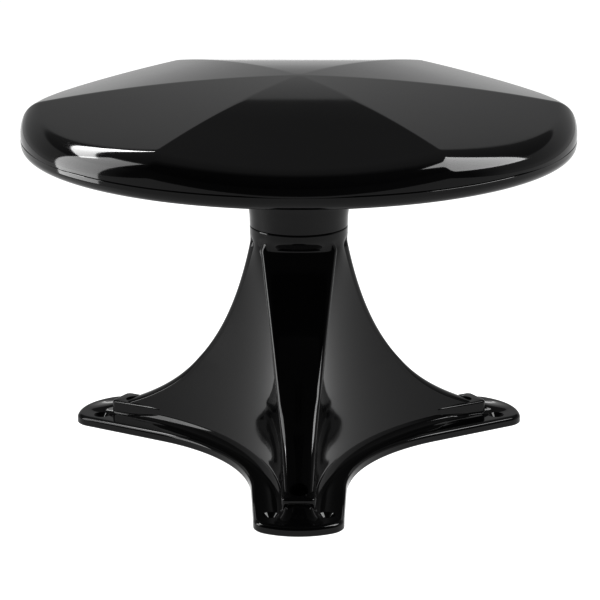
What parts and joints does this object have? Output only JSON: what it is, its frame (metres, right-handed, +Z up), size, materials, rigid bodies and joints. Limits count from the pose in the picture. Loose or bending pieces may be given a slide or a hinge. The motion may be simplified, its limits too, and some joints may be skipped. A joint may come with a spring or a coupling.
{
  "type": "rotating roof antenna",
  "caption": "Round faceted black dome antenna that turns on a flared three-legged roof mount.",
  "frame": {"origin": "centre of the mount's footprint, on the roof face", "axes": "+Z up along the turning axis; one leg points towards -Y"},
  "size_m": [0.32, 0.32, 0.2264],
  "materials": {
    "gloss_black": "injection moulded, polished black",
    "gasket_rubber": "closed-cell black rubber",
    "bush_acetal": "natural acetal",
    "steel": "stainless steel",
    "spindle_alloy": "turned aluminium",
    "tray_plastic": "grey moulded tray",
    "element_sheet": "stamped sheet",
    "board_laminate": "green solder mask",
    "tin_plate": "tinned can",
    "socket_nickel": "nickel plated",
    "lead_jacket": "black cable jacket",
    "vent_plastic": "membrane vent"
  },
  "bodies": {
    "mount": {"pedestal": "gloss_black", "roof_gasket": "gasket_rubber", "upper_bush": "bush_acetal", "lower_bush": "bush_acetal", "thrust_washer": "steel", "stop_pin": "steel", "neck_seal": "gasket_rubber"},
    "dome": {"upper_cover": "gloss_black", "lower_cover": "gloss_black", "rim_seal": "gasket_rubber", "friction_washer": "bush_acetal", "cover_screws": "steel", "spindle_screws": "steel", "lower_washer": "steel", "retaining_ring": "steel", "drive_screw": "steel", "carrier_screws": "steel", "element_screws": "steel", "board_screws": "steel", "spindle": "spindle_alloy", "element_carrier": "tray_plastic", "reflector": "element_sheet", "director": "element_sheet", "driven_element_right": "element_sheet", "driven_element_left": "element_sheet", "amplifier_board": "board_laminate", "shield_can": "tin_plate", "board_socket": "socket_nickel", "coax_jack": "socket_nickel", "jack_nut": "socket_nickel", "lead_plug": "socket_nickel", "signal_lead": "lead_jacket", "breather_vent": "vent_plastic"}
  },
  "joints": [
    {"name": "dome_turn", "type": "hinge", "parent": "mount", "child": "dome", "pos_m": [0, 0, 0], "axis": [0, 0, 1], "range_deg": [-170, 170]}
  ]
}
